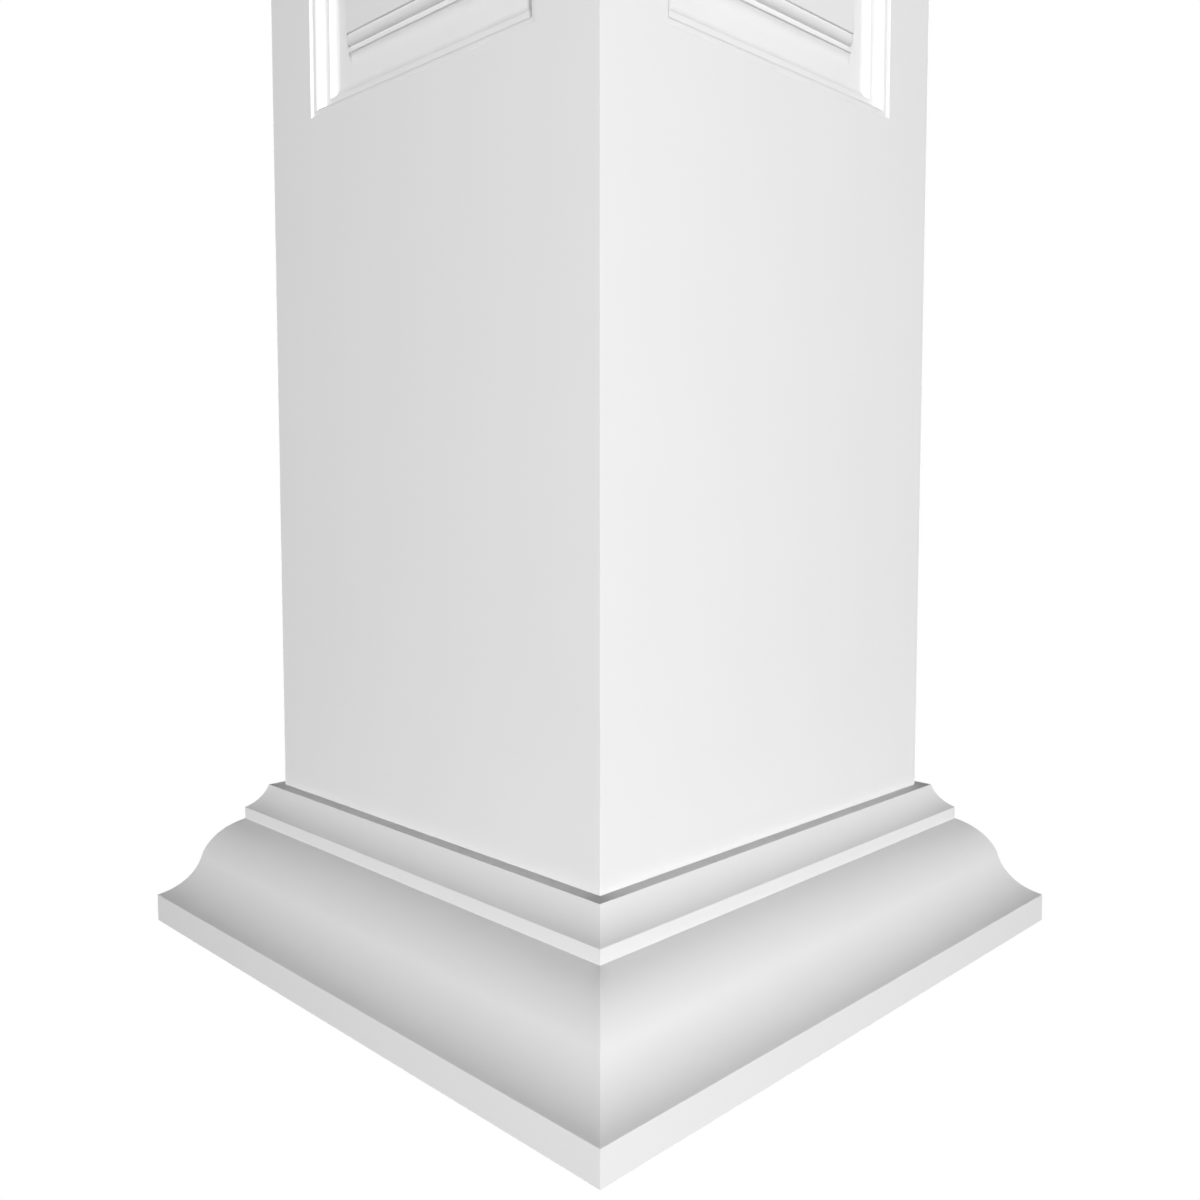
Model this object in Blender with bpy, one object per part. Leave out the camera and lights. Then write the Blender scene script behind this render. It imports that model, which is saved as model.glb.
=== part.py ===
"""Square porch column: a hollow wrap of white cellular PVC boards with one raised panel a side.

Four boards are mitred together at the corners. Each has one tall opening, lined with mitred
lengths of panel moulding round a raised panel. Four mitred lengths of crown moulding make the
base, and the same moulding turned over makes the capital.

Metres, +Z up. The origin is the centre of the foot, on the floor, and the front faces -Y.
Every piece is modelled for the front and then turned about Z to its own side.
"""

import math

import bmesh
import bpy

# The column as a whole.
COLUMN_HEIGHT = 2.4384
SHAFT_WIDTH = 0.254
BOARD_THICKNESS = 0.019
JOINT_GAP = 0.0003

# The opening for the panel, in from the board's edges.
STILE_WIDTH = 0.0395
BOTTOM_RAIL_HEIGHT = 0.4427
TOP_RAIL_HEIGHT = 0.4427

# The panel moulding's section, from the board's edge down to the panel's sunk margin.
QUIRK_DEPTH = 0.0014
QUIRK_WIDTH = 0.0021
OVOLO_WIDTH = 0.0026
FOOT_RADIUS = 0.0005
LEDGE_WIDTH = 0.0037
LEDGE_DEPTH = 0.0060
RISER_HEIGHT = 0.0004
COVE_WIDTH = 0.0042
FEATHER_THICKNESS = 0.0005

# The raised panel's section, from its field down to its sunk margin.
FIELD_INSET = 0.0336
PANEL_OVOLO_RADIUS = 0.0040
PANEL_LEDGE_WIDTH = 0.0024
PANEL_LEDGE_STEP = 0.0014
PANEL_COVE_WIDTH = 0.0043
MARGIN_DEPTH = 0.0094

# The crown moulding's section: out from the shaft, and up from the floor. Its back is cut
# away between the two flats that meet the floor and the shaft.
CROWN_HEIGHT = 0.0794
CROWN_PROJECTION = 0.0528
FOOT_BAND_HEIGHT = 0.0150
FILLET_PROJECTION = 0.0165
FILLET_HEIGHT = 0.0065
UPPER_COVE_HEIGHT = 0.0132
TOP_LEDGE_WIDTH = 0.0067
CYMA_TURN = math.radians(51.6)
UPPER_COVE_TURN = math.radians(44.2)
FOOT_LAND_WIDTH = 0.0168
BACK_LAND_HEIGHT = 0.0254

# How finely the curves are cut into flats.
CROWN_ARC_STEPS = 10
PANEL_ARC_STEPS = 6
FOOT_ARC_STEPS = 2

# The whites, each as a name, a linear shade and a roughness.
BOARD_WHITE = ("shaft board PVC", 0.80, 0.45)
PANEL_WHITE = ("raised panel PVC", 0.80, 0.42)
STICK_WHITE = ("panel moulding PVC", 0.82, 0.38)
CROWN_WHITE = ("crown moulding PVC", 0.81, 0.38)

# What follows from those sizes.
HALF_SHAFT = SHAFT_WIDTH / 2
HALF_OPENING = HALF_SHAFT - STILE_WIDTH
OPENING_FOOT = BOTTOM_RAIL_HEIGHT
OPENING_HEAD = COLUMN_HEIGHT - TOP_RAIL_HEIGHT
PANEL_LEDGE_DEPTH = QUIRK_DEPTH + PANEL_OVOLO_RADIUS
MITRE_CLEARANCE = JOINT_GAP / math.sqrt(2)

TURNS = {"front": 0, "right": 90, "back": 180, "left": 270}
SMOOTH_BELOW = math.radians(25)


def clear_scene():
    """Empties the scene of whatever it starts with."""
    for obj in list(bpy.data.objects):
        bpy.data.objects.remove(obj)


def white_pvc(name, shade, roughness):
    """A white plastic of one shade and roughness."""
    material = bpy.data.materials.new(name)
    material.use_nodes = True
    surface = material.node_tree.nodes["Principled BSDF"]
    surface.inputs["Base Color"].default_value = (shade, shade, shade, 1.0)
    surface.inputs["Roughness"].default_value = roughness
    surface.inputs["Metallic"].default_value = 0.0
    return material


def arc(start, end, turn, steps):
    """Points after start up to end, on an arc that turns by that angle, positive to the left."""
    mid = ((start[0] + end[0]) / 2, (start[1] + end[1]) / 2)
    along = (end[0] - start[0], end[1] - start[1])
    reach = 0.5 / math.tan(turn / 2)
    centre = (mid[0] - along[1] * reach, mid[1] + along[0] * reach)
    arm = (start[0] - centre[0], start[1] - centre[1])
    points = []
    for step in range(1, steps + 1):
        angle = turn * step / steps
        across = arm[0] * math.cos(angle) - arm[1] * math.sin(angle)
        up = arm[0] * math.sin(angle) + arm[1] * math.cos(angle)
        points.append((centre[0] + across, centre[1] + up))
    return points


def crown_outline():
    """The crown moulding's section as (out from the shaft's face, up from the floor)."""
    fillet_foot = CROWN_HEIGHT - UPPER_COVE_HEIGHT - FILLET_HEIGHT
    foot = (CROWN_PROJECTION, FOOT_BAND_HEIGHT)
    shoulder = (FILLET_PROJECTION, fillet_foot)
    middle = ((foot[0] + shoulder[0]) / 2, (foot[1] + shoulder[1]) / 2)
    fillet_head = (FILLET_PROJECTION, fillet_foot + FILLET_HEIGHT)
    ledge = (TOP_LEDGE_WIDTH, CROWN_HEIGHT)
    return [
        (CROWN_PROJECTION - FOOT_LAND_WIDTH, 0.0),
        (CROWN_PROJECTION, 0.0),
        foot,
        *arc(foot, middle, -CYMA_TURN, CROWN_ARC_STEPS),
        *arc(middle, shoulder, CYMA_TURN, CROWN_ARC_STEPS),
        fillet_head,
        *arc(fillet_head, ledge, -UPPER_COVE_TURN, CROWN_ARC_STEPS),
        (JOINT_GAP, CROWN_HEIGHT),
        (JOINT_GAP, CROWN_HEIGHT - BACK_LAND_HEIGHT),
    ]


def panel_moulding_outline():
    """The panel moulding's section as (in from the opening's edge, back from the shaft's face)."""
    quarter = math.pi / 2
    back = MARGIN_DEPTH - JOINT_GAP
    fall = LEDGE_DEPTH - FOOT_RADIUS - QUIRK_DEPTH
    ovolo = [
        (QUIRK_WIDTH + OVOLO_WIDTH * across, QUIRK_DEPTH + fall * down)
        for across, down in arc((0.0, 0.0), (1.0, 1.0), quarter, PANEL_ARC_STEPS)
    ]
    foot_end = (ovolo[-1][0] + FOOT_RADIUS, LEDGE_DEPTH)
    ledge_edge = foot_end[0] + LEDGE_WIDTH
    cove_start = (ledge_edge, LEDGE_DEPTH + RISER_HEIGHT)
    cove_end = (ledge_edge + COVE_WIDTH, back - FEATHER_THICKNESS)
    cove_turn = 2 * math.atan2(cove_end[1] - cove_start[1], COVE_WIDTH)
    return [
        (JOINT_GAP, back),
        (JOINT_GAP, QUIRK_DEPTH),
        (QUIRK_WIDTH, QUIRK_DEPTH),
        *ovolo,
        *arc(ovolo[-1], foot_end, -quarter, FOOT_ARC_STEPS),
        (ledge_edge, LEDGE_DEPTH),
        cove_start,
        *arc(cove_start, cove_end, -cove_turn, PANEL_ARC_STEPS),
        (cove_end[0], back),
    ]


def raised_panel_steps():
    """The raised panel's section from back to field, as (in from the opening's edge, back)."""
    quarter = math.pi / 2
    ovolo_end = (FIELD_INSET, QUIRK_DEPTH)
    ovolo_start = (FIELD_INSET - PANEL_OVOLO_RADIUS, PANEL_LEDGE_DEPTH)
    ledge_edge = ovolo_start[0] - PANEL_LEDGE_WIDTH
    cove_start = (ledge_edge - PANEL_COVE_WIDTH, MARGIN_DEPTH)
    cove_end = (ledge_edge, PANEL_LEDGE_DEPTH + PANEL_LEDGE_STEP)
    cove_turn = 2 * math.atan2(cove_start[1] - cove_end[1], PANEL_COVE_WIDTH)
    return [
        (JOINT_GAP, BOARD_THICKNESS),
        (JOINT_GAP, MARGIN_DEPTH),
        cove_start,
        *arc(cove_start, cove_end, -cove_turn, PANEL_ARC_STEPS),
        (ledge_edge, PANEL_LEDGE_DEPTH),
        ovolo_start,
        *arc(ovolo_start, ovolo_end, quarter, PANEL_ARC_STEPS),
        (FIELD_INSET, 0.0),
    ]


def loft(name, rings):
    """A closed mesh through rings of equally many points, with a face over each end."""
    shape = bmesh.new()
    loops = [[shape.verts.new(point) for point in ring] for ring in rings]
    for first, second in zip(loops, loops[1:]):
        for at in range(len(first)):
            after = (at + 1) % len(first)
            shape.faces.new((first[at], first[after], second[after], second[at]))
    shape.faces.new(loops[0])
    shape.faces.new(loops[-1])
    bmesh.ops.recalc_face_normals(shape, faces=shape.faces)
    mesh = bpy.data.meshes.new(name)
    shape.to_mesh(mesh)
    shape.free()
    mesh.shade_smooth()
    mesh.set_sharp_from_angle(angle=SMOOTH_BELOW)
    return mesh


def face_rectangle(inset, depth):
    """The opening's rectangle taken in by inset and set back by depth, as four points."""
    side = HALF_OPENING - inset
    y = depth - HALF_SHAFT
    foot, head = OPENING_FOOT + inset, OPENING_HEAD - inset
    return [(-side, y, foot), (side, y, foot), (side, y, head), (-side, y, head)]


def board_mesh():
    """One board of the shaft, mitred down both long edges, before its opening is cut."""
    rings = []
    for depth in (0.0, BOARD_THICKNESS):
        side = HALF_SHAFT - depth - MITRE_CLEARANCE
        y = depth - HALF_SHAFT
        rings.append(
            [(-side, y, 0.0), (side, y, 0.0), (side, y, COLUMN_HEIGHT), (-side, y, COLUMN_HEIGHT)]
        )
    return loft("shaft_board", rings)


def opening_cutter_mesh():
    """A block that cuts the opening right through a board."""
    return loft(
        "opening_cutter",
        [face_rectangle(0.0, -BOARD_THICKNESS), face_rectangle(0.0, 2 * BOARD_THICKNESS)],
    )


def crown_mesh(name, turned_over):
    """One mitred length of crown moulding: the base's, or the capital's if turned over."""
    ends = []
    for end in (-1, 1):
        ring = []
        for out, up in crown_outline():
            x = end * (HALF_SHAFT + out - MITRE_CLEARANCE)
            z = COLUMN_HEIGHT - up if turned_over else up
            ring.append((x, -HALF_SHAFT - out, z))
        ends.append(ring)
    return loft(name, ends)


def panel_moulding_mesh(place):
    """One mitred length of the moulding that lines an opening, along its bottom, top or a side."""
    ends = []
    for end in (-1, 1):
        ring = []
        for inset, depth in panel_moulding_outline():
            short = inset + MITRE_CLEARANCE
            if place in ("bottom", "top"):
                x = end * (HALF_OPENING - short)
                z = OPENING_FOOT + inset if place == "bottom" else OPENING_HEAD - inset
            else:
                x = (HALF_OPENING - inset) * (-1 if place == "left_side" else 1)
                z = OPENING_FOOT + short if end < 0 else OPENING_HEAD - short
            ring.append((x, depth - HALF_SHAFT, z))
        ends.append(ring)
    return loft("panel_moulding_" + place, ends)


def raised_panel_mesh():
    """The raised panel: its back, its sunk margin, and the moulded rise to its field."""
    return loft("raised_panel", [face_rectangle(*step) for step in raised_panel_steps()])


def place_piece(name, mesh, material, side):
    """Adds a piece of one side to the scene, carried by that side's empty."""
    piece = bpy.data.objects.new(name, mesh)
    bpy.context.scene.collection.objects.link(piece)
    if not mesh.materials:
        mesh.materials.append(material)
    piece.parent = side
    return piece


def cut_opening(board, cutter):
    """Cuts the panel's opening out of a board."""
    cut = board.modifiers.new("panel opening", "BOOLEAN")
    cut.operation = "DIFFERENCE"
    cut.object = cutter


def build_column():
    """Makes every piece of the column, side by side."""
    board_white = white_pvc(*BOARD_WHITE)
    panel_white = white_pvc(*PANEL_WHITE)
    stick_white = white_pvc(*STICK_WHITE)
    crown_white = white_pvc(*CROWN_WHITE)

    board = board_mesh()
    cutter_mesh = opening_cutter_mesh()
    panel = raised_panel_mesh()
    sticks = {
        place: panel_moulding_mesh(place) for place in ("bottom", "top", "left_side", "right_side")
    }
    base = crown_mesh("base_moulding", turned_over=False)
    capital = crown_mesh("capital_moulding", turned_over=True)

    for side_name, degrees in TURNS.items():
        side = bpy.data.objects.new("side_" + side_name, None)
        bpy.context.scene.collection.objects.link(side)
        side.rotation_euler.z = math.radians(degrees)

        cutter = place_piece("opening_cutter_" + side_name, cutter_mesh, board_white, side)
        cutter.hide_render = True
        cutter.display_type = "WIRE"
        cut_opening(place_piece("shaft_board_" + side_name, board, board_white, side), cutter)
        place_piece("raised_panel_" + side_name, panel, panel_white, side)
        for place, stick in sticks.items():
            place_piece(f"panel_moulding_{side_name}_{place}", stick, stick_white, side)
        place_piece("base_moulding_" + side_name, base, crown_white, side)
        place_piece("capital_moulding_" + side_name, capital, crown_white, side)


clear_scene()
build_column()
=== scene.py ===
"""Square porch column in white cellular PVC, finished for rendering.

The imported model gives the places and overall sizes. Each of its pieces is made again here with
smooth mouldings, eased edges and tight mitres, and is dressed as moulded or sawn PVC. One Geometry
Nodes tree runs every moulding: it sweeps a section along a length and mitres both ends.

Metres, +Z up, with the origin at the centre of the column's foot. The front faces -Y.
"""

import logging
import math
from dataclasses import dataclass
from enum import Enum
from typing import Any, ClassVar, Iterable, Mapping, Sequence

import bmesh
import bpy
from mathutils import Matrix, Vector


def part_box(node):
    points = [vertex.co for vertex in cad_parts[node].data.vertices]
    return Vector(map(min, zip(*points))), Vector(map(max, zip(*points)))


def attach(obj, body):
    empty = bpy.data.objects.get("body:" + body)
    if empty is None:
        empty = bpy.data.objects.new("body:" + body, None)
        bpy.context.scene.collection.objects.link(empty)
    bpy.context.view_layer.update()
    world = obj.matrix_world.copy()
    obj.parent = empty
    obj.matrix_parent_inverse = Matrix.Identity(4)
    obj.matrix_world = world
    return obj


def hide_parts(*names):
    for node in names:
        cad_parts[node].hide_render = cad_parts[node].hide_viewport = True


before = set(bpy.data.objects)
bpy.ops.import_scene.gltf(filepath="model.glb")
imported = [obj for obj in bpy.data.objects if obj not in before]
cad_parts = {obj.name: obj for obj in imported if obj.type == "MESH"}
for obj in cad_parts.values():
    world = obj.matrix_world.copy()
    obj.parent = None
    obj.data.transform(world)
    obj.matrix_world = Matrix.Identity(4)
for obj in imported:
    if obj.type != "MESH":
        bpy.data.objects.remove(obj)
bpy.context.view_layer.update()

LOG = logging.getLogger("column")
BODY = "root"
MILLIMETRE = 0.001
QUARTER_TURN = math.pi / 2
EIGHTH_TURN = math.pi / 4
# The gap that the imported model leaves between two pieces.
MODEL_GAP = 0.3 * MILLIMETRE
# How far a hidden back stays off what it lies against, so that no two faces share a plane.
TOUCH = 0.05 * MILLIMETRE
Point = tuple[float, float]


class Side(Enum):
    """The four sides of the column, each with its turn about Z in degrees."""

    FRONT = ("front", 0.0)
    RIGHT = ("right", 90.0)
    BACK = ("back", 180.0)
    LEFT = ("left", 270.0)

    @property
    def word(self) -> str:
        """The side's name in the model's node names."""
        return self.value[0]

    @property
    def turn(self) -> Matrix:
        """The turn that carries a piece of the front to this side."""
        return Matrix.Rotation(math.radians(self.value[1]), 4, "Z")


class PanelEdge(Enum):
    """The four edges of a panel's opening, each with its turn about Y in degrees."""

    BOTTOM = ("bottom", 0.0)
    TOP = ("top", 180.0)
    LEFT_SIDE = ("left_side", 90.0)
    RIGHT_SIDE = ("right_side", -90.0)

    @property
    def word(self) -> str:
        """The edge's name in the model's node names."""
        return self.value[0]

    @property
    def turn(self) -> Matrix:
        """The turn that carries a length from the opening's bottom to this edge."""
        return Matrix.Rotation(math.radians(self.value[1]), 4, "Y")

    @property
    def upright(self) -> bool:
        """Whether a length along this edge stands upright."""
        return self in (PanelEdge.LEFT_SIDE, PanelEdge.RIGHT_SIDE)


def linear(colour: str, alpha: float = 1.0) -> tuple[float, float, float, float]:
    """Turns an sRGB hex colour to the linear values that a shader takes.

    Args:
        colour: Six hex digits, such as "F2F2F0".
        alpha: The opacity.

    Returns:
        Linear red, green and blue, and the alpha.
    """
    shares = [int(colour[at : at + 2], 16) / 255 for at in (0, 2, 4)]
    # The sRGB curve is a straight line near black and a power above that.
    red, green, blue = (
        share / 12.92 if share <= 0.04045 else ((share + 0.055) / 1.055) ** 2.4 for share in shares
    )
    return red, green, blue, alpha


def add_node(
    tree: bpy.types.NodeTree,
    kind: str,
    settings: Mapping[str, Any] | None = None,
    inputs: Mapping[str | int, Any] | None = None,
) -> bpy.types.Node:
    """Adds a node to a tree, with its settings, input values and links.

    Args:
        tree: The tree that the node goes in.
        kind: The node's Blender type name.
        settings: Properties of the node itself.
        inputs: For each input, by name or number, a value or the output socket to link from.

    Returns:
        The new node.
    """
    node = tree.nodes.new(kind)
    for name, value in (settings or {}).items():
        setattr(node, name, value)
    for name, value in (inputs or {}).items():
        if isinstance(value, bpy.types.NodeSocket):
            tree.links.new(value, node.inputs[name])
        else:
            node.inputs[name].default_value = value
    return node


@dataclass(frozen=True)
class PvcFinish:
    """Cellular PVC, such as trim board and mouldings are made of: an even white with no grain.

    Its skin is smooth and satin. What shows up close is a slight orange peel, or fine lines along
    an extruded length, and the light breaks up a little on it.

    Attributes:
        IOR: The refractive index of solid PVC.
        name: The material's name.
        colour: The white, as an sRGB hex colour.
        shade: The slightly greyer white that it drifts to, as an sRGB hex colour.
        roughness: The middle roughness.
        roughness_spread: How far the roughness drifts to each side.
        drift: Size in metres of the patches over which colour and roughness drift.
        relief: Size in metres of the surface's fine relief.
        relief_height: Height in metres of that relief.
        lengthwise: How many times longer than wide the relief is along an extruded length.
        gloss: Strength of the skin's reflection, where 0.5 is that of clear plastic.
    """

    name: str
    colour: str
    shade: str
    roughness: float
    roughness_spread: float
    drift: float
    relief: float
    relief_height: float
    lengthwise: float = 1.0
    gloss: float = 0.3
    IOR: ClassVar[float] = 1.53

    def place(self, tree: bpy.types.NodeTree) -> bpy.types.NodeSocket:
        """Gives the coordinates that the relief follows.

        Args:
            tree: The material's tree.

        Returns:
            Object coordinates, or on an extruded length its own, drawn out along it.
        """
        if self.lengthwise == 1.0:
            return add_node(tree, "ShaderNodeTexCoord").outputs["Object"]
        own = add_node(
            tree,
            "ShaderNodeAttribute",
            {"attribute_name": MitredLength.OWN_PLACE, "attribute_type": "GEOMETRY"},
        )
        drawn_out = add_node(
            tree,
            "ShaderNodeMapping",
            {"vector_type": "POINT"},
            {"Vector": own.outputs["Vector"], "Scale": (1.0 / self.lengthwise, 1.0, 1.0)},
        )
        return drawn_out.outputs["Vector"]

    def make(self) -> bpy.types.Material:
        """Builds the material.

        Returns:
            The material, ready to use.
        """
        material = bpy.data.materials.new(self.name)
        material.use_nodes = True
        tree = material.node_tree
        surface = tree.nodes["Principled BSDF"]
        surface.inputs["IOR"].default_value = self.IOR
        surface.inputs["Specular IOR Level"].default_value = self.gloss
        surface.inputs["Metallic"].default_value = 0.0

        spot = add_node(tree, "ShaderNodeTexCoord").outputs["Object"]
        patches = add_node(
            tree,
            "ShaderNodeTexNoise",
            inputs={"Vector": spot, "Scale": 1.0 / self.drift, "Detail": 3.0, "Roughness": 0.5},
        )
        white = add_node(
            tree,
            "ShaderNodeMix",
            {"data_type": "RGBA"},
            {
                "Factor": patches.outputs["Fac"],
                "A": linear(self.colour),
                "B": linear(self.shade),
            },
        )
        rough = add_node(
            tree,
            "ShaderNodeMapRange",
            inputs={
                "Value": patches.outputs["Fac"],
                "To Min": self.roughness - self.roughness_spread,
                "To Max": self.roughness + self.roughness_spread,
            },
        )
        grit = add_node(
            tree,
            "ShaderNodeTexNoise",
            inputs={"Vector": self.place(tree), "Scale": 1.0 / self.relief, "Detail": 2.0},
        )
        bump = add_node(
            tree,
            "ShaderNodeBump",
            inputs={
                "Strength": 1.0,
                "Distance": self.relief_height,
                "Height": grit.outputs["Fac"],
            },
        )
        tree.links.new(white.outputs["Result"], surface.inputs["Base Color"])
        tree.links.new(rough.outputs["Result"], surface.inputs["Roughness"])
        tree.links.new(bump.outputs["Normal"], surface.inputs["Normal"])
        return material


@dataclass(frozen=True)
class Finishes:
    """The finishes of the column, each made once.

    Attributes:
        board: Calendered trim board: a satin skin with a slight orange peel.
        panel: The same board after milling: a little less even, and more matt.
        stick: Extruded panel moulding: fine lines along its length.
        crown: Extruded crown moulding: the same lines, wider apart.
        sawn: A sawn end, where the foam's open cells show as fine pits.
    """

    board: bpy.types.Material
    panel: bpy.types.Material
    stick: bpy.types.Material
    crown: bpy.types.Material
    sawn: bpy.types.Material

    @classmethod
    def make(cls) -> "Finishes":
        """Builds all the finishes.

        Returns:
            The finishes, with their materials made.
        """
        mm = MILLIMETRE
        return cls(
            # The rolls leave an even satin face. Real orange peel is under a millimetre across,
            # and is drawn at 2.2 mm so that it breaks up the light at the photograph's distance.
            board=PvcFinish(
                "calendered cellular PVC board", "E8E8E8", "E5E5E5", 0.55, 0.04,
                drift=70 * mm, relief=2.2 * mm, relief_height=0.012 * mm,
            ).make(),
            # A cutter takes the skin off, which leaves the face more matt, with finer ripples.
            panel=PvcFinish(
                "milled cellular PVC board", "E7E7E7", "E4E4E4", 0.58, 0.04,
                drift=55 * mm, relief=1.4 * mm, relief_height=0.010 * mm,
            ).make(),
            # The die draws hair lines along the length. They are drawn 0.9 mm apart to show.
            stick=PvcFinish(
                "extruded PVC panel moulding", "E5E5E5", "E3E3E3", 0.50, 0.03,
                drift=60 * mm, relief=0.9 * mm, relief_height=0.008 * mm, lengthwise=60.0,
                gloss=0.2,
            ).make(),
            # The larger die leaves wider lines, and the broad curves take a soft, dull shine.
            crown=PvcFinish(
                "extruded PVC crown moulding", "E4E4E4", "E1E1E1", 0.52, 0.04,
                drift=80 * mm, relief=1.8 * mm, relief_height=0.012 * mm, lengthwise=60.0,
                gloss=0.12,
            ).make(),
            # The saw opens the foam's cells. They are about 0.1 mm across, and are drawn as
            # 0.8 mm pits so that the ends look rough and dull from where a camera stands.
            sawn=PvcFinish(
                "sawn cellular PVC end", "DEDEDD", "D2D2D0", 0.72, 0.08,
                drift=6 * mm, relief=0.8 * mm, relief_height=0.12 * mm,
            ).make(),
        )


def arc(start: Point, end: Point, turn: float, steps: int) -> list[Point]:
    """Works out the points of an arc, after its start and up to its end.

    Args:
        start: Where the arc starts.
        end: Where it ends.
        turn: The angle that it turns through, positive to the left.
        steps: How many straight pieces it is cut into.

    Returns:
        The points, the last of them at the end.
    """
    first, last = Vector(start), Vector(end)
    along = last - first
    centre = (first + last) / 2 + Vector((-along.y, along.x)) * (0.5 / math.tan(turn / 2))
    arm = first - centre
    points = []
    for step in range(1, steps + 1):
        angle = turn * step / steps
        sine, cosine = math.sin(angle), math.cos(angle)
        points.append(
            (centre.x + arm.x * cosine - arm.y * sine, centre.y + arm.x * sine + arm.y * cosine)
        )
    return points


def eased(points: Sequence[Point], radius: float, closed: bool = True) -> list[Point]:
    """Rounds the corners of an outline, and leaves the bends of its curves alone.

    Args:
        points: The outline.
        radius: The radius of the rounding.
        closed: Whether the last point joins the first. The ends of an open outline stay.

    Returns:
        The outline with a short arc in place of each corner.
    """
    least_turn = math.radians(12)
    widest_facet = math.radians(12)
    share_of_edge = 0.45
    result: list[Point] = []
    count = len(points)
    for at, point in enumerate(points):
        if not closed and at in (0, count - 1):
            result.append(point)
            continue
        here = Vector(point)
        back = Vector(points[at - 1]) - here
        ahead = Vector(points[(at + 1) % count]) - here
        turn = back.angle_signed(-ahead)
        if abs(turn) < least_turn:
            result.append(point)
            continue
        longest = share_of_edge * min(back.length, ahead.length)
        reach = min(radius * math.tan(abs(turn) / 2), longest)
        entry = here + back.normalized() * reach
        leave = here + ahead.normalized() * reach
        cross = back.x * ahead.y - back.y * ahead.x
        steps = max(2, math.ceil(abs(turn) / widest_facet))
        result.append((entry.x, entry.y))
        result.extend(
            arc((entry.x, entry.y), (leave.x, leave.y), math.copysign(turn, -cross), steps)
        )
    return result


def anticlockwise(points: Sequence[Point]) -> list[Point]:
    """Orders a closed outline anticlockwise.

    Args:
        points: The outline, in either order.

    Returns:
        The same points, anticlockwise.
    """
    area = sum(
        first[0] * second[1] - second[0] * first[1]
        for first, second in zip(points, [*points[1:], points[0]])
    )
    return list(points) if area > 0 else list(reversed(points))


def new_object(name: str, mesh: bpy.types.Mesh) -> bpy.types.Object:
    """Adds a mesh to the scene as an object at the origin.

    Args:
        name: The object's name.
        mesh: Its mesh.

    Returns:
        The new object.
    """
    made = bpy.data.objects.new(name, mesh)
    bpy.context.scene.collection.objects.link(made)
    return made


def mesh_of(name: str, shape: bmesh.types.BMesh) -> bpy.types.Mesh:
    """Turns a shape into a mesh, with its faces pointing out, and frees the shape.

    Args:
        name: The mesh's name.
        shape: The shape.

    Returns:
        The mesh.
    """
    bmesh.ops.recalc_face_normals(shape, faces=shape.faces)
    mesh = bpy.data.meshes.new(name)
    shape.to_mesh(mesh)
    shape.free()
    return mesh


def flat_face(name: str, outline: Sequence[Point], height: float = 0.0) -> bpy.types.Mesh:
    """Makes a mesh of one level face.

    Args:
        name: The mesh's name.
        outline: The face's outline, anticlockwise.
        height: The height that it lies at.

    Returns:
        The mesh.
    """
    shape = bmesh.new()
    shape.faces.new([shape.verts.new((x, y, height)) for x, y in outline])
    mesh = bpy.data.meshes.new(name)
    shape.to_mesh(mesh)
    shape.free()
    return mesh


def applied(piece: bpy.types.Object) -> bpy.types.Mesh:
    """Applies a piece's modifiers to a plain mesh, and removes them from the piece.

    Args:
        piece: The piece, with its modifiers.

    Returns:
        The new mesh, which the piece doesn't use yet.
    """
    graph = bpy.context.evaluated_depsgraph_get()
    graph.update()
    mesh = bpy.data.meshes.new_from_object(piece.evaluated_get(graph), depsgraph=graph)
    piece.modifiers.clear()
    return mesh


def around(azimuth: float, distance: float, height: float) -> tuple[float, float, float]:
    """Works out a place in the studio from its direction.

    Args:
        azimuth: The direction from the column in degrees. The front is at 0 and the right at 90.
        distance: How far it is from the column's middle, along the floor.
        height: Its height above the floor.

    Returns:
        The place.
    """
    turn = math.radians(azimuth)
    return math.sin(turn) * distance, -math.cos(turn) * distance, height


def loft(rings: Sequence[Sequence[Vector]]) -> bmesh.types.BMesh:
    """Makes a closed shape through rings of points, with a face over each end.

    Args:
        rings: The rings, each of equally many points.

    Returns:
        The shape.
    """
    shape = bmesh.new()
    loops = [[shape.verts.new(point) for point in ring] for ring in rings]
    for first, second in zip(loops, loops[1:]):
        for at in range(len(first)):
            after = (at + 1) % len(first)
            shape.faces.new((first[at], first[after], second[after], second[at]))
    shape.faces.new(loops[0])
    shape.faces.new(loops[-1])
    return shape


def smooth_curves(mesh: bpy.types.Mesh) -> None:
    """Shades a mesh smooth over its curves and sharp at its corners."""
    mesh.shade_smooth()
    mesh.set_sharp_from_angle(angle=MitredLength.SHARP_ABOVE)


def hand_over(piece: bpy.types.Object, node: str) -> None:
    """Puts a finished piece in the place of a node of the model.

    Args:
        piece: The finished piece.
        node: The node that it stands for.
    """
    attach(piece, BODY)
    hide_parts(node)
    LOG.info("%s: %d faces, in place of %s", piece.name, len(piece.data.polygons), node)


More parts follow.
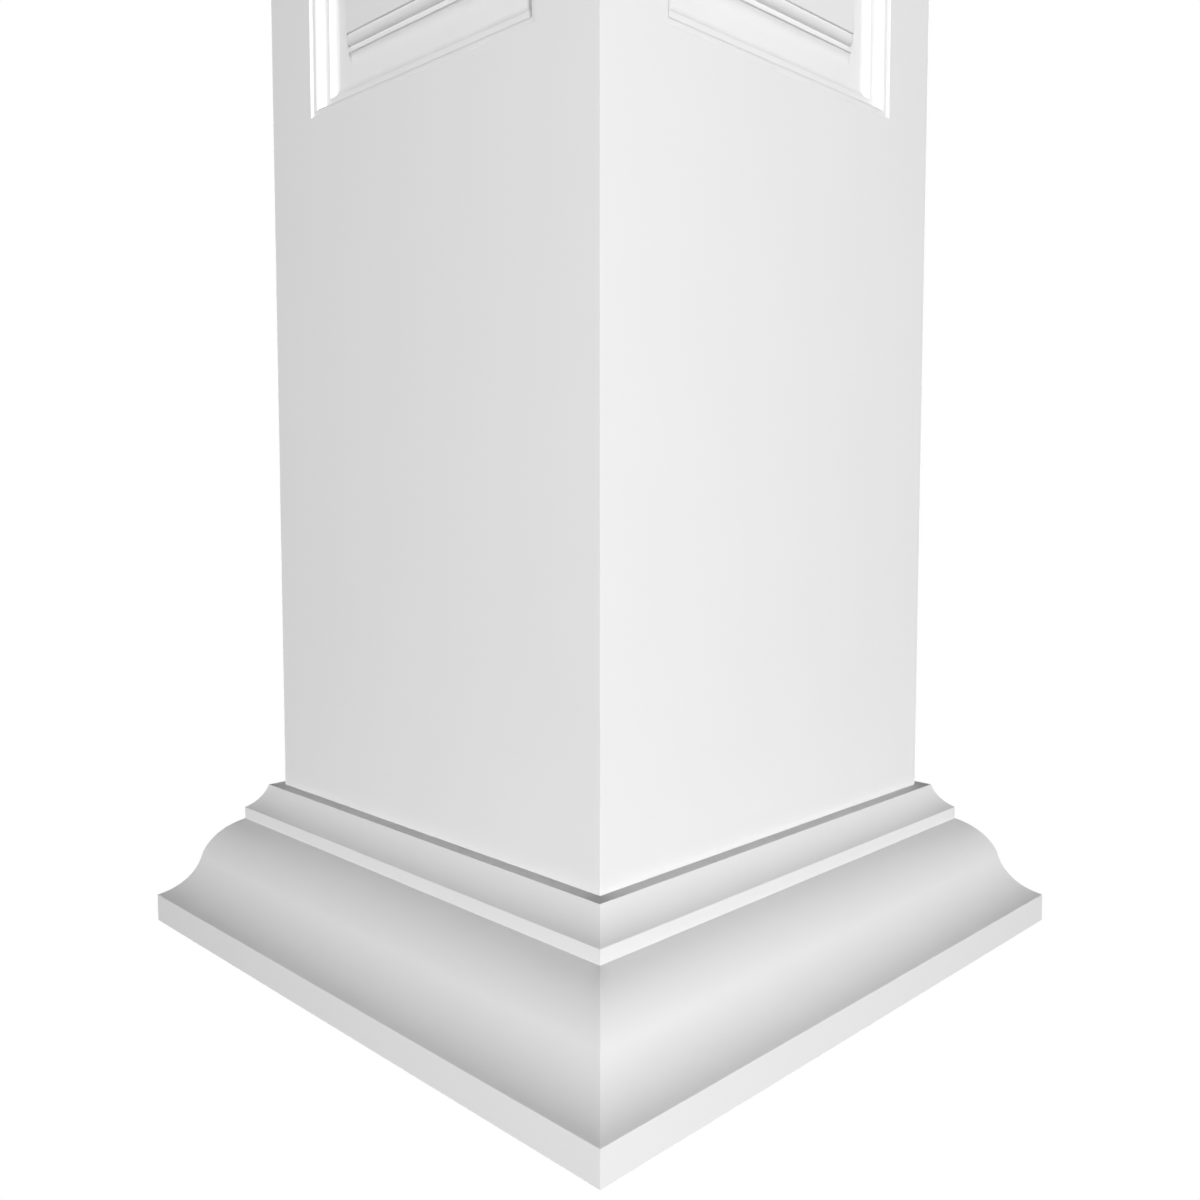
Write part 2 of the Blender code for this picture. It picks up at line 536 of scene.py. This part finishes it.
class MitredLength:
    """A Geometry Nodes tree that runs a section along a length and mitres both ends.

    The section is a flat face, with X across the moulding, away from the middle of the frame that
    it is part of, and Y its rise. The tree draws it out, shears the ends to 45 degrees, keeps the
    place of each point along and across the length as an attribute, and then puts it in place.

    Attributes:
        OWN_PLACE: The name of that attribute.
        SHARP_ABOVE: The bend above which an edge is shaded sharp.
        MERGE_WITHIN: How near two points are when they are made one.
    """

    OWN_PLACE = "own_place"
    SHARP_ABOVE = math.radians(8)
    MERGE_WITHIN = 1e-6

    def __init__(self) -> None:
        """Builds the tree."""
        self.tree = bpy.data.node_groups.new("mitred length", "GeometryNodeTree")
        self._sockets: dict[str, str] = {}
        self._add_sockets()
        self._add_nodes()

    def _add_sockets(self) -> None:
        """Adds the tree's inputs and its output."""
        interface = self.tree.interface
        interface.new_socket("Geometry", in_out="INPUT", socket_type="NodeSocketGeometry")
        for name, kind in (
            ("Half Length", "NodeSocketFloat"),
            ("Joint", "NodeSocketFloat"),
            ("Place", "NodeSocketVector"),
            ("Turn", "NodeSocketVector"),
            ("Finish", "NodeSocketMaterial"),
        ):
            socket = interface.new_socket(name, in_out="INPUT", socket_type=kind)
            self._sockets[name] = socket.identifier
        interface.new_socket("Geometry", in_out="OUTPUT", socket_type="NodeSocketGeometry")

    def _add_nodes(self) -> None:
        """Adds the tree's nodes, from the section to the finished length."""
        tree = self.tree
        given = add_node(tree, "NodeGroupInput").outputs
        far_end = add_node(
            tree,
            "GeometryNodeExtrudeMesh",
            {"mode": "FACES"},
            {"Mesh": given["Geometry"], "Offset": (0.0, 0.0, 1.0), "Individual": False},
        )
        near_end = add_node(tree, "GeometryNodeFlipFaces", inputs={"Mesh": given["Geometry"]})
        both = add_node(tree, "GeometryNodeJoinGeometry")
        tree.links.new(far_end.outputs["Mesh"], both.inputs["Geometry"])
        tree.links.new(near_end.outputs["Mesh"], both.inputs["Geometry"])
        closed = add_node(
            tree,
            "GeometryNodeMergeByDistance",
            inputs={"Geometry": both.outputs["Geometry"], "Distance": self.MERGE_WITHIN},
        )
        own_place = self._sheared_place(given)
        drawn = add_node(
            tree,
            "GeometryNodeSetPosition",
            inputs={"Geometry": closed.outputs["Geometry"], "Position": own_place},
        )
        marked = add_node(
            tree,
            "GeometryNodeStoreNamedAttribute",
            {"data_type": "FLOAT_VECTOR", "domain": "POINT"},
            {
                "Geometry": drawn.outputs["Geometry"],
                "Name": self.OWN_PLACE,
                "Value": add_node(tree, "GeometryNodeInputPosition").outputs["Position"],
            },
        )
        placed = add_node(
            tree,
            "GeometryNodeTransform",
            inputs={
                "Geometry": marked.outputs["Geometry"],
                "Translation": given["Place"],
                "Rotation": given["Turn"],
            },
        )
        real = add_node(
            tree, "GeometryNodeRealizeInstances", inputs={"Geometry": self._shaded(placed)}
        )
        dressed = add_node(
            tree,
            "GeometryNodeSetMaterial",
            inputs={"Geometry": real.outputs["Geometry"], "Material": given["Finish"]},
        )
        add_node(tree, "NodeGroupOutput", inputs={"Geometry": dressed.outputs["Geometry"]})

    def _sheared_place(self, given: Any) -> bpy.types.NodeSocket:
        """Works out where each point goes once the ends are mitred.

        Args:
            given: The tree's inputs.

        Returns:
            The point's place, as along the length, across it and up.
        """
        tree = self.tree
        raw = add_node(
            tree,
            "ShaderNodeSeparateXYZ",
            inputs={0: add_node(tree, "GeometryNodeInputPosition").outputs["Position"]},
        ).outputs
        reach = add_node(
            tree, "ShaderNodeMath", {"operation": "ADD"}, {0: given["Half Length"], 1: raw["X"]}
        )
        short = add_node(
            tree,
            "ShaderNodeMath",
            {"operation": "SUBTRACT"},
            {0: reach.outputs["Value"], 1: given["Joint"]},
        )
        which_end = add_node(
            tree,
            "ShaderNodeMath",
            {"operation": "MULTIPLY_ADD"},
            {0: raw["Z"], 1: 2.0, 2: -1.0},
        )
        along = add_node(
            tree,
            "ShaderNodeMath",
            {"operation": "MULTIPLY"},
            {0: short.outputs["Value"], 1: which_end.outputs["Value"]},
        )
        return add_node(
            tree,
            "ShaderNodeCombineXYZ",
            inputs={"X": along.outputs["Value"], "Y": raw["X"], "Z": raw["Y"]},
        ).outputs["Vector"]

    def _shaded(self, shape: bpy.types.Node) -> bpy.types.NodeSocket:
        """Shades the curves of a shape smooth and its corners sharp.

        Args:
            shape: The node whose geometry is shaded.

        Returns:
            The shaded geometry.
        """
        tree = self.tree
        smooth = add_node(
            tree,
            "GeometryNodeSetShadeSmooth",
            {"domain": "FACE"},
            {"Geometry": shape.outputs["Geometry"], "Shade Smooth": True},
        )
        bend = add_node(tree, "GeometryNodeInputMeshEdgeAngle")
        corner = add_node(
            tree,
            "FunctionNodeCompare",
            {"data_type": "FLOAT", "operation": "GREATER_THAN"},
            {0: bend.outputs["Unsigned Angle"], 1: self.SHARP_ABOVE},
        )
        return add_node(
            tree,
            "GeometryNodeSetShadeSmooth",
            {"domain": "EDGE"},
            {
                "Geometry": smooth.outputs["Geometry"],
                "Selection": corner.outputs["Result"],
                "Shade Smooth": False,
            },
        ).outputs["Geometry"]

    def run(
        self,
        name: str,
        section: Sequence[Point],
        half_length: float,
        joint: float,
        place: Matrix,
        finish: bpy.types.Material,
    ) -> bpy.types.Object:
        """Makes one length of moulding.

        Args:
            name: The piece's name.
            section: The moulding's section, as across and up.
            half_length: Half the length of its line at 0 across.
            joint: How far each end stops short of the mitre.
            place: Where the length goes.
            finish: Its material.

        Returns:
            The length, as a plain mesh with its place in the mesh.
        """
        flat = flat_face(name + " section", anticlockwise(section))
        stock = new_object(name, flat)
        modifier = stock.modifiers.new("mitred length", "NODES")
        modifier.node_group = self.tree
        values = {
            "Half Length": half_length,
            "Joint": joint,
            "Place": tuple(place.to_translation()),
            "Turn": tuple(place.to_euler()),
            "Finish": finish,
        }
        for socket, value in values.items():
            modifier[self._sockets[socket]] = value
        stock.data = applied(stock)
        stock.data.name = name
        bpy.data.meshes.remove(flat)
        return stock


@dataclass(frozen=True)
class ColumnFrame:
    """The column's main sizes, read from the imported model.

    Attributes:
        height: The column's height.
        half_shaft: Half the shaft's width.
        thickness: The boards' thickness.
        half_opening: Half the width of a panel's opening.
        opening_foot: The height of the opening's bottom edge.
        opening_head: The height of its top edge.
        crown_height: The height of the base moulding.
        crown_projection: How far it stands out from the shaft.
    """

    height: float
    half_shaft: float
    thickness: float
    half_opening: float
    opening_foot: float
    opening_head: float
    crown_height: float
    crown_projection: float

    @classmethod
    def read(cls) -> "ColumnFrame":
        """Reads the sizes from the boxes of the front's pieces.

        Returns:
            The column's main sizes.
        """
        board_low, board_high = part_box("shaft_board_front")
        panel_low, panel_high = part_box("raised_panel_front")
        crown_low, crown_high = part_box("base_moulding_front")
        return cls(
            height=board_high[2],
            half_shaft=-board_low[1],
            thickness=board_high[1] - board_low[1],
            half_opening=panel_high[0] + MODEL_GAP,
            opening_foot=panel_low[2] - MODEL_GAP,
            opening_head=panel_high[2] + MODEL_GAP,
            crown_height=crown_high[2],
            crown_projection=board_low[1] - crown_low[1],
        )

    def rectangle(self, inset: float, depth: float) -> list[Vector]:
        """Gives the corners of a rectangle that follows the front opening's edge.

        Args:
            inset: How far inside the opening's edge the rectangle lies.
            depth: How far back from the shaft's face.

        Returns:
            The four corners, in order.
        """
        side, back = self.half_opening - inset, depth - self.half_shaft
        low, high = self.opening_foot + inset, self.opening_head - inset
        corners = ((-side, low), (side, low), (side, high), (-side, high))
        return [Vector((x, back, z)) for x, z in corners]


@dataclass
class Shaft:
    """The four boards of the shaft, mitred together at the corners.

    Attributes:
        column: The column's main sizes.
        finishes: The column's finishes.
        arris: Radius that the outer corners are eased to.
        arris_steps: How many flats each board's half of that rounding is cut into.
        joint: How far each board stops short of the mitre.
        rim: Radius that the opening's rim is eased to.
        rim_steps: How many flats that rounding is cut into.
    """

    column: ColumnFrame
    finishes: Finishes
    arris: float = 0.12 * MILLIMETRE
    arris_steps: int = 4
    joint: float = 0.02 * MILLIMETRE
    rim: float = 0.6 * MILLIMETRE
    rim_steps: int = 8

    def section(self) -> list[Point]:
        """Works out a front board's section, seen from above.

        Returns:
            The outline, with half of each rounded corner at its two ends.
        """
        half, thick = self.column.half_shaft, self.column.thickness
        middle = half - self.arris * (1 - math.cos(EIGHTH_TURN))
        face_end = (half - self.arris, -half)
        corner = arc(face_end, (middle, -middle), EIGHTH_TURN, self.arris_steps)
        right = [
            face_end,
            *[(x - self.joint, y) for x, y in corner],
            (half - thick - self.joint, thick - half),
        ]
        return right + [(-x, y) for x, y in reversed(right)]

    def board(self, side: Side) -> bpy.types.Object:
        """Makes one board, with its opening cut and its ends sawn.

        Args:
            side: The side that the board is on.

        Returns:
            The board.
        """
        column = self.column
        outline = self.section()
        rings = [[Vector((x, y, z)) for x, y in outline] for z in (0.0, column.height)]
        name = f"shaft_board_{side.word}_mitred"
        board = new_object(name, mesh_of(name, loft(rings)))
        cutter = new_object("opening", self.opening())
        cut = board.modifiers.new("opening", "BOOLEAN")
        cut.operation = "DIFFERENCE"
        cut.object = cutter
        mesh = applied(board)
        board.data = mesh
        bpy.data.objects.remove(cutter)
        mesh.transform(side.turn)
        mesh.shade_flat()
        mesh.materials.clear()
        mesh.materials.append(self.finishes.board)
        mesh.materials.append(self.finishes.sawn)
        nearly_level = 0.9
        for face in mesh.polygons:
            level = abs(face.normal.z) > nearly_level
            at_end = min(abs(face.center.z), abs(face.center.z - column.height)) < MODEL_GAP
            face.material_index = int(level and at_end)
        return board

    def opening(self) -> bpy.types.Mesh:
        """Makes the block that cuts the front board's opening and rounds its rim.

        Returns:
            The block's mesh.
        """
        column, rim = self.column, self.rim
        profile = [
            (0.0, 2 * column.thickness),
            (0.0, rim),
            *arc((0.0, rim), (-rim, 0.0), QUARTER_TURN, self.rim_steps),
            (-rim, -column.thickness),
        ]
        return mesh_of("opening", loft([column.rectangle(*point) for point in profile]))

    def build(self) -> None:
        """Makes the four boards."""
        for side in Side:
            hand_over(self.board(side), f"shaft_board_{side.word}")


@dataclass
class PanelWork:
    """The raised panels and the moulding round them.

    Depths are back from the shaft's face, and insets are in from the opening's edge.

    Attributes:
        column: The column's main sizes.
        finishes: The column's finishes.
        lengths: The tree that runs the mouldings.
        quirk: Depth of the small step at the opening's edge, and of the step round the field.
        quirk_flat: Width of the flat at the foot of the moulding's step.
        ovolo: Width of the moulding's rounded member.
        foot: Radius of the small hollow between that member and the ledge.
        ledge: Width of the moulding's flat ledge.
        ledge_depth: The depth of that ledge.
        riser: Height of the straight part below the ledge.
        cove: Width of the shallow hollow that runs down to the margin.
        feather: Thickness that the moulding runs out to.
        margin_depth: The depth of the panel's sunk margin.
        field_inset: How far in the panel's field starts.
        panel_ovolo: Radius of the panel's rounded member.
        panel_ledge: Width of the panel's own ledge.
        panel_step: Height of the small step under that ledge.
        panel_cove: Width of the shallow hollow that runs from the step down to the margin.
        field_round: Radius of the field's rounded edge.
        arris: Radius that the other edges are eased to.
        joint: How far each length stops short of the mitre.
        steps: How many flats a quarter round is cut into.
    """

    column: ColumnFrame
    finishes: Finishes
    lengths: MitredLength
    quirk: float = 1.4 * MILLIMETRE
    quirk_flat: float = 2.1 * MILLIMETRE
    ovolo: float = 2.6 * MILLIMETRE
    foot: float = 0.5 * MILLIMETRE
    ledge: float = 3.7 * MILLIMETRE
    ledge_depth: float = 6.0 * MILLIMETRE
    riser: float = 0.4 * MILLIMETRE
    cove: float = 4.2 * MILLIMETRE
    feather: float = 0.12 * MILLIMETRE
    margin_depth: float = 9.4 * MILLIMETRE
    field_inset: float = 33.6 * MILLIMETRE
    panel_ovolo: float = 4.0 * MILLIMETRE
    panel_ledge: float = 2.4 * MILLIMETRE
    panel_step: float = 1.2 * MILLIMETRE
    panel_cove: float = 5.0 * MILLIMETRE
    field_round: float = 0.7 * MILLIMETRE
    arris: float = 0.2 * MILLIMETRE
    joint: float = 0.004 * MILLIMETRE
    steps: int = 14

    @property
    def panel_ledge_depth(self) -> float:
        """The depth of the panel's own ledge."""
        return self.quirk + self.panel_ovolo

    def moulding_section(self) -> list[Point]:
        """Works out the panel moulding's section.

        Returns:
            The outline, as minus the inset and the depth.
        """
        back = self.margin_depth - TOUCH
        fall = self.ledge_depth - self.foot - self.quirk
        ovolo = [
            (self.quirk_flat + self.ovolo * across, self.quirk + fall * down)
            for across, down in arc((0.0, 0.0), (1.0, 1.0), QUARTER_TURN, self.steps)
        ]
        foot_end = (ovolo[-1][0] + self.foot, self.ledge_depth)
        ledge_edge = foot_end[0] + self.ledge
        cove_start = (ledge_edge, self.ledge_depth + self.riser)
        cove_end = (ledge_edge + self.cove, back - self.feather)
        cove_turn = 2 * math.atan2(cove_end[1] - cove_start[1], self.cove)
        outline = [
            (TOUCH, back),
            (TOUCH, self.quirk),
            (self.quirk_flat, self.quirk),
            *ovolo,
            *arc(ovolo[-1], foot_end, -QUARTER_TURN, self.steps // 2),
            (ledge_edge, self.ledge_depth),
            cove_start,
            *arc(cove_start, cove_end, -cove_turn, self.steps),
            (cove_end[0], back),
        ]
        return [(-inset, depth) for inset, depth in eased(outline, self.arris)]

    def panel_section(self) -> list[Point]:
        """Works out the raised panel's section, from its back to its field.

        Returns:
            The outline, as inset and depth.
        """
        ovolo_end = (self.field_inset, self.quirk)
        ovolo_start = (self.field_inset - self.panel_ovolo, self.panel_ledge_depth)
        ledge_edge = ovolo_start[0] - self.panel_ledge
        cove_start = (ledge_edge - self.panel_cove, self.margin_depth)
        cove_end = (ledge_edge, self.panel_ledge_depth + self.panel_step)
        cove_turn = 2 * math.atan2(cove_start[1] - cove_end[1], self.panel_cove)
        round_start = (self.field_inset, self.field_round)
        round_end = (self.field_inset + self.field_round, 0.0)
        outline = [
            (TOUCH, self.column.thickness),
            (TOUCH, self.margin_depth),
            cove_start,
            *arc(cove_start, cove_end, -cove_turn, self.steps),
            (ledge_edge, self.panel_ledge_depth),
            ovolo_start,
            *arc(ovolo_start, ovolo_end, QUARTER_TURN, self.steps),
            round_start,
            *arc(round_start, round_end, QUARTER_TURN, self.steps),
            (self.field_inset + self.quirk, 0.0),
        ]
        return eased(outline, self.arris, closed=False)

    def panel(self, side: Side) -> bpy.types.Object:
        """Makes one raised panel.

        Args:
            side: The side that the panel is on.

        Returns:
            The panel.
        """
        name = f"raised_panel_{side.word}_milled"
        rings = [self.column.rectangle(*point) for point in self.panel_section()]
        mesh = mesh_of(name, loft(rings))
        mesh.transform(side.turn)
        smooth_curves(mesh)
        mesh.materials.append(self.finishes.panel)
        return new_object(name, mesh)

    def length(self, side: Side, edge: PanelEdge) -> bpy.types.Object:
        """Makes one length of panel moulding.

        Args:
            side: The side that it is on.
            edge: The edge of the opening that it lines.

        Returns:
            The length.
        """
        column = self.column
        half_width = column.half_opening
        half_height = (column.opening_head - column.opening_foot) / 2
        middle = Vector((0.0, -column.half_shaft, column.opening_foot + half_height))
        half_length, away = (
            (half_height, half_width) if edge.upright else (half_width, half_height)
        )
        place = (
            side.turn
            @ Matrix.Translation(middle)
            @ edge.turn
            @ Matrix.Translation((0.0, 0.0, -away))
            @ Matrix.Rotation(-QUARTER_TURN, 4, "X")
        )
        return self.lengths.run(
            f"panel_moulding_{side.word}_{edge.word}_stick",
            self.moulding_section(),
            half_length,
            self.joint,
            place,
            self.finishes.stick,
        )

    def build(self) -> None:
        """Makes the panels and their mouldings."""
        for side in Side:
            hand_over(self.panel(side), f"raised_panel_{side.word}")
            for edge in PanelEdge:
                node = f"panel_moulding_{side.word}_{edge.word}"
                hand_over(self.length(side, edge), node)


@dataclass
class CrownWork:
    """The base and the capital, of one crown moulding.

    Attributes:
        column: The column's main sizes.
        finishes: The column's finishes.
        lengths: The tree that runs the mouldings.
        foot_band: Height of the flat band at the foot.
        fillet_out: How far the fillet stands out from the shaft.
        fillet: Height of the fillet.
        upper_cove: Height of the small hollow above the fillet.
        top_ledge: Width of the ledge at the top.
        cyma_turn: The angle that each half of the large double curve turns through.
        cove_turn: The angle that the small hollow turns through.
        foot_land: Width of the flat that meets the floor.
        back_land: Height of the flat that meets the shaft.
        arris: Radius that the edges are eased to.
        joint: How far each length stops short of the mitre.
        steps: How many flats each curve is cut into.
    """

    column: ColumnFrame
    finishes: Finishes
    lengths: MitredLength
    foot_band: float = 15.0 * MILLIMETRE
    fillet_out: float = 16.5 * MILLIMETRE
    fillet: float = 6.5 * MILLIMETRE
    upper_cove: float = 13.2 * MILLIMETRE
    top_ledge: float = 6.7 * MILLIMETRE
    cyma_turn: float = math.radians(51.6)
    cove_turn: float = math.radians(44.2)
    foot_land: float = 16.8 * MILLIMETRE
    back_land: float = 25.4 * MILLIMETRE
    arris: float = 0.2 * MILLIMETRE
    joint: float = 0.004 * MILLIMETRE
    steps: int = 24

    def section(self) -> list[Point]:
        """Works out the moulding's section.

        Returns:
            The outline, as out from the shaft and up from the floor.
        """
        height, out = self.column.crown_height, self.column.crown_projection
        shoulder = (self.fillet_out, height - self.upper_cove - self.fillet)
        foot = (out, self.foot_band)
        middle = ((foot[0] + shoulder[0]) / 2, (foot[1] + shoulder[1]) / 2)
        fillet_head = (self.fillet_out, height - self.upper_cove)
        ledge = (self.top_ledge, height)
        outline = [
            (out - self.foot_land, 0.0),
            (out, 0.0),
            foot,
            *arc(foot, middle, -self.cyma_turn, self.steps),
            *arc(middle, shoulder, self.cyma_turn, self.steps),
            fillet_head,
            *arc(fillet_head, ledge, -self.cove_turn, self.steps),
            (TOUCH, height),
            (TOUCH, height - self.back_land),
        ]
        return eased(outline, self.arris)

    def build(self) -> None:
        """Makes the four lengths of the base and the four of the capital."""
        column = self.column
        section = self.section()
        upright = Matrix.Translation((0.0, -column.half_shaft, 0.0)) @ Matrix.Rotation(
            math.pi, 4, "Z"
        )
        turned_over = Matrix.Translation((0.0, -column.half_shaft, column.height)) @ (
            Matrix.Rotation(math.pi, 4, "X")
        )
        for part, place in (("base", upright), ("capital", turned_over)):
            for side in Side:
                piece = self.lengths.run(
                    f"{part}_moulding_{side.word}_length",
                    section,
                    column.half_shaft,
                    self.joint,
                    side.turn @ place,
                    self.finishes.crown,
                )
                hand_over(piece, f"{part}_moulding_{side.word}")


@dataclass(frozen=True)
class Softbox:
    """A rectangular studio light.

    Attributes:
        name: The light's name.
        azimuth: Its direction from the column in degrees. The front is at 0 and the right at 90.
        distance: How far it stands from the column's middle.
        height: The height of its centre.
        aim: The height that it points at.
        size: Its width and height.
        power: Its power in watts.
    """

    name: str
    azimuth: float
    distance: float
    height: float
    aim: float
    size: tuple[float, float]
    power: float

    def place(self) -> None:
        """Adds the light to the scene."""
        data = bpy.data.lights.new(self.name, "AREA")
        data.shape = "RECTANGLE"
        data.size, data.size_y = self.size
        data.energy = self.power
        lamp = bpy.data.objects.new(self.name, data)
        bpy.context.scene.collection.objects.link(lamp)
        lamp.location = around(self.azimuth, self.distance, self.height)
        towards = Vector((0.0, 0.0, self.aim)) - lamp.location
        lamp.rotation_euler = towards.to_track_quat("-Z", "Y").to_euler()
        lamp.visible_camera = False


@dataclass
class Studio:
    """The camera, the lights, the pale floor and the white surround.

    Attributes:
        azimuth: The camera's direction from the column in degrees.
        distance: Its distance from the column's middle, along the floor.
        eye_height: Its height above the floor.
        tilt: How far it looks down, in degrees.
        lens: Its focal length in millimetres.
        sensor: The width of its sensor in millimetres.
        nearest: The nearest that it sees, in metres.
        shift: How far the picture is shifted down, as a share of its width.
        lights: The softboxes.
        surround: How bright the white surround looks to the camera.
        surround_light: How much light it gives the column from the horizon.
        surround_reach: How high up that light fades out, as the sine of its elevation.
        floor_white: How bright the floor looks to the camera.
        floor_light: How much light the floor gives the column.
        floor_half: Half the floor's width.
        floor_drop: How far the floor lies under the column's foot.
    """

    azimuth: float = 45.0
    distance: float = 0.6442
    eye_height: float = 0.2481
    tilt: float = 3.79
    lens: float = 34.35
    sensor: float = 36.0
    nearest: float = 20 * MILLIMETRE
    shift: float = -0.03
    lights: tuple[Softbox, ...] = (
        Softbox("key softbox", 50.0, 4.0, 0.28, 0.28, (0.8, 0.3), 195.0),
        Softbox("back softbox", 230.0, 4.0, 0.28, 0.28, (0.8, 0.3), 195.0),
        Softbox("top softbox", 0.0, 0.0, 3.6, 0.0, (0.3, 0.3), 11.0),
    )
    surround: float = 1.0
    surround_light: float = 0.35
    surround_reach: float = 0.35
    floor_white: float = 1.0
    floor_light: float = 0.09
    floor_half: float = 12.0
    floor_drop: float = 0.1 * MILLIMETRE

    def camera(self) -> None:
        """Adds the camera at the photograph's place."""
        data = bpy.data.cameras.new("camera")
        data.sensor_width = self.sensor
        data.lens = self.lens
        data.shift_y = self.shift
        data.clip_start = self.nearest
        eye = bpy.data.objects.new("camera", data)
        bpy.context.scene.collection.objects.link(eye)
        eye.location = around(self.azimuth, self.distance, self.eye_height)
        eye.rotation_euler = (math.radians(90.0 - self.tilt), 0.0, math.radians(self.azimuth))
        bpy.context.scene.camera = eye

    def two_whites(
        self,
        tree: bpy.types.NodeTree,
        kind: str,
        seen: float,
        given: float | bpy.types.NodeSocket,
    ) -> bpy.types.NodeSocket:
        """Mixes a white that the camera sees with a dimmer one that lights the column.

        Args:
            tree: The tree of the floor or the surround.
            kind: The shader's Blender type name.
            seen: The strength that the camera sees.
            given: The strength that lights the column, or the socket that gives it.

        Returns:
            The mixed shader.
        """
        dim = add_node(tree, kind, inputs={"Color": linear("FFFFFF"), "Strength": given})
        bright = add_node(tree, kind, inputs={"Color": linear("FFFFFF"), "Strength": seen})
        path = add_node(tree, "ShaderNodeLightPath")
        mixed = add_node(
            tree,
            "ShaderNodeMixShader",
            inputs={0: path.outputs["Is Camera Ray"], 1: dim.outputs[0], 2: bright.outputs[0]},
        )
        return mixed.outputs[0]

    def world(self) -> None:
        """Makes the white surround."""
        world = bpy.data.worlds.new("white surround")
        world.use_nodes = True
        tree = world.node_tree
        tree.nodes.clear()
        towards = add_node(tree, "ShaderNodeTexCoord").outputs["Generated"]
        rise = add_node(tree, "ShaderNodeSeparateXYZ", inputs={0: towards}).outputs["Z"]
        band = add_node(
            tree,
            "ShaderNodeMapRange",
            {"interpolation_type": "SMOOTHSTEP"},
            {
                "Value": rise,
                "From Max": self.surround_reach,
                "To Min": self.surround_light,
                "To Max": 0.0,
            },
        )
        white = self.two_whites(
            tree, "ShaderNodeBackground", self.surround, band.outputs["Result"]
        )
        add_node(tree, "ShaderNodeOutputWorld", inputs={"Surface": white})
        bpy.context.scene.world = world

    def floor(self) -> None:
        """Makes the pale floor."""
        material = bpy.data.materials.new("pale floor")
        material.use_nodes = True
        tree = material.node_tree
        tree.nodes.clear()
        white = self.two_whites(
            tree, "ShaderNodeEmission", self.floor_white, self.floor_light
        )
        add_node(tree, "ShaderNodeOutputMaterial", inputs={"Surface": white})
        half = self.floor_half
        corners = ((-half, -half), (half, -half), (half, half), (-half, half))
        mesh = flat_face("floor", corners, -self.floor_drop)
        mesh.materials.append(material)
        new_object("floor", mesh)

    def build(self) -> None:
        """Sets up the studio."""
        bpy.context.scene.view_settings.view_transform = "Standard"
        self.camera()
        self.world()
        self.floor()
        for light in self.lights:
            light.place()


def main() -> None:
    """Builds the studio and the column."""
    logging.basicConfig(level=logging.INFO, format="%(name)s: %(message)s")
    Studio().build()
    column = ColumnFrame.read()
    finishes = Finishes.make()
    lengths = MitredLength()
    Shaft(column, finishes).build()
    PanelWork(column, finishes, lengths).build()
    CrownWork(column, finishes, lengths).build()


if __name__ == "__main__":
    main()
